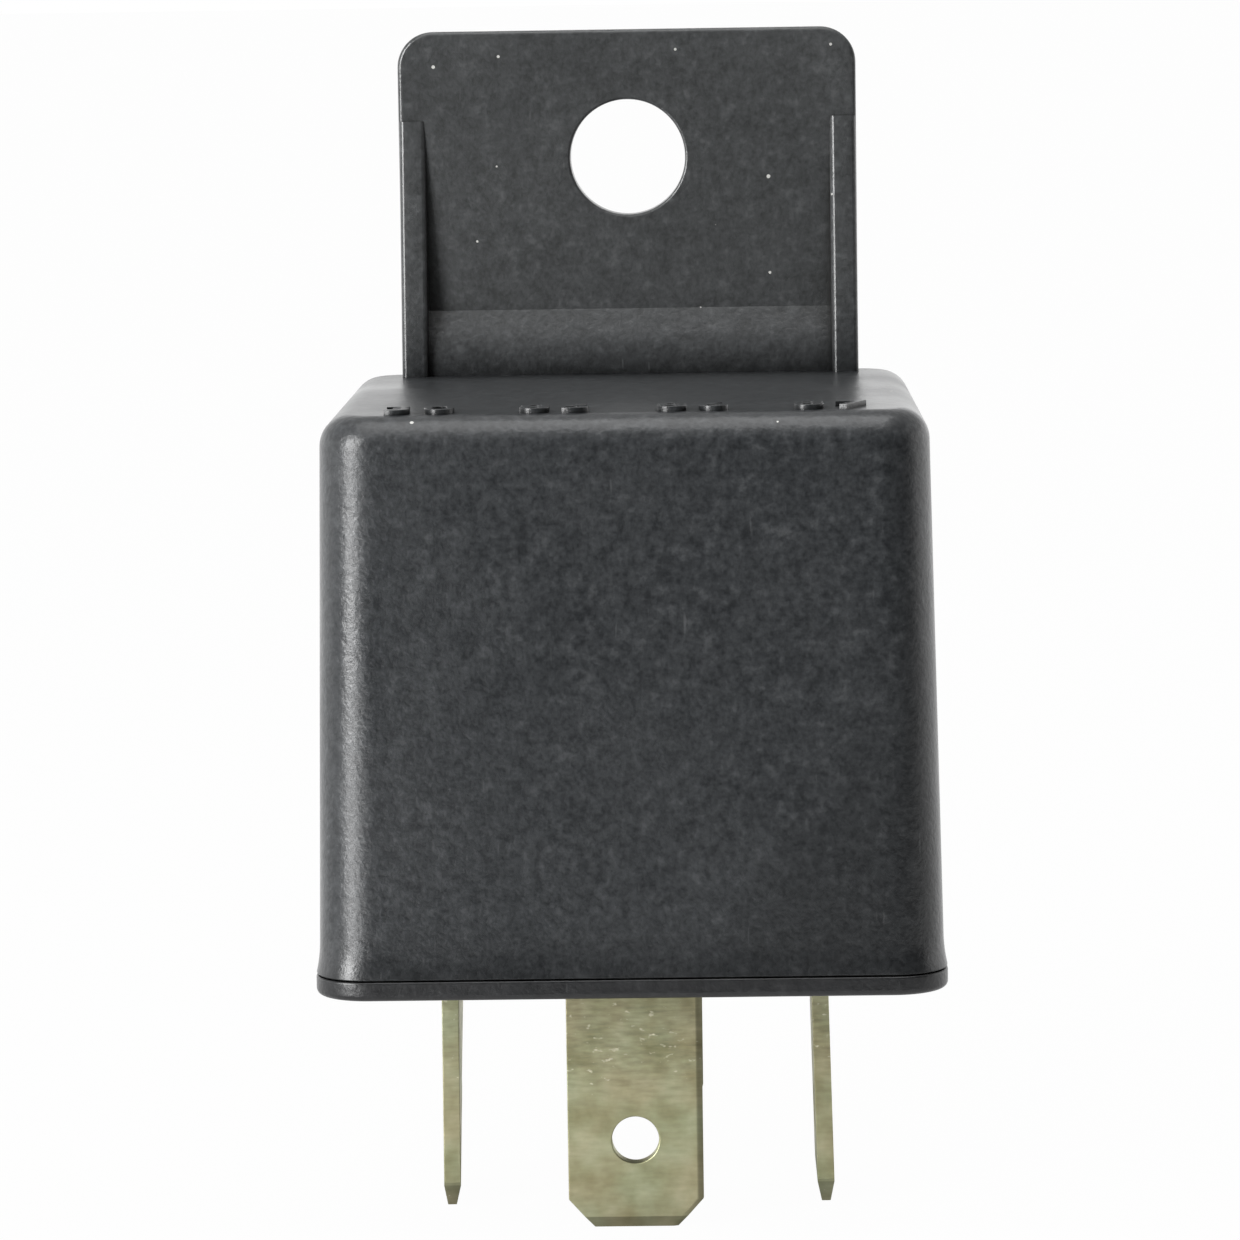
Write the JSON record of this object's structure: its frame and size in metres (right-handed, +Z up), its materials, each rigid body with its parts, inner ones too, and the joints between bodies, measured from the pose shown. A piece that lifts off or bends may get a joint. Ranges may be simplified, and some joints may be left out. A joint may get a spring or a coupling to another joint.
{
  "type": "plug-in relay",
  "caption": "Cube-shaped plug-in relay with flat blade terminals below, a drafted moulded cover and an upright moulded fixing bracket with a screw hole.",
  "frame": {"origin": "centre of the base plate's underside, the face that meets the socket", "axes": "+Z up from the blades to the bracket, +Y towards the bracket's back face, +X to the right of a viewer who faces the front"},
  "size_m": [0.0288, 0.0287, 0.0554],
  "materials": {
    "cover_nylon": "moulded black nylon with a fine spark-eroded grain",
    "base_nylon": "moulded black nylon",
    "blade_brass": "stamped brass dulled to olive, with rolled edges",
    "zinc_steel": "zinc-plated soft iron",
    "bobbin_plastic": "natural moulded polyester",
    "copper_wire": "enamelled copper wire",
    "spring_bronze": "rolled bronze strip",
    "contact_silver": "headed silver alloy"
  },
  "bodies": {
    "housing": {"cover": "cover_nylon", "base_plate": "base_nylon", "terminal_30": "blade_brass", "terminal_87": "blade_brass", "terminal_85": "blade_brass", "terminal_86": "blade_brass", "yoke": "zinc_steel", "core": "zinc_steel", "bobbin": "bobbin_plastic", "coil_winding": "copper_wire", "coil_lead_85": "copper_wire", "coil_lead_86": "copper_wire", "fixed_contact": "contact_silver", "stop_bracket": "blade_brass", "yoke_rivet_left": "zinc_steel", "yoke_rivet_right": "zinc_steel"},
    "moving_armature": {"armature": "zinc_steel", "contact_spring": "spring_bronze", "moving_contact": "contact_silver", "armature_rivet_left": "zinc_steel", "armature_rivet_right": "zinc_steel"}
  },
  "joints": [
    {"name": "armature_pivot", "type": "hinge", "parent": "housing", "child": "moving_armature", "pos_m": [0, -0.01155, 0.02127], "axis": [-1, 0, 0], "range_deg": [0, 2.2], "stiffness_Nm_per_rad": 0.02, "springref_deg": -14.32, "deforming": ["contact_spring"]}
  ]
}
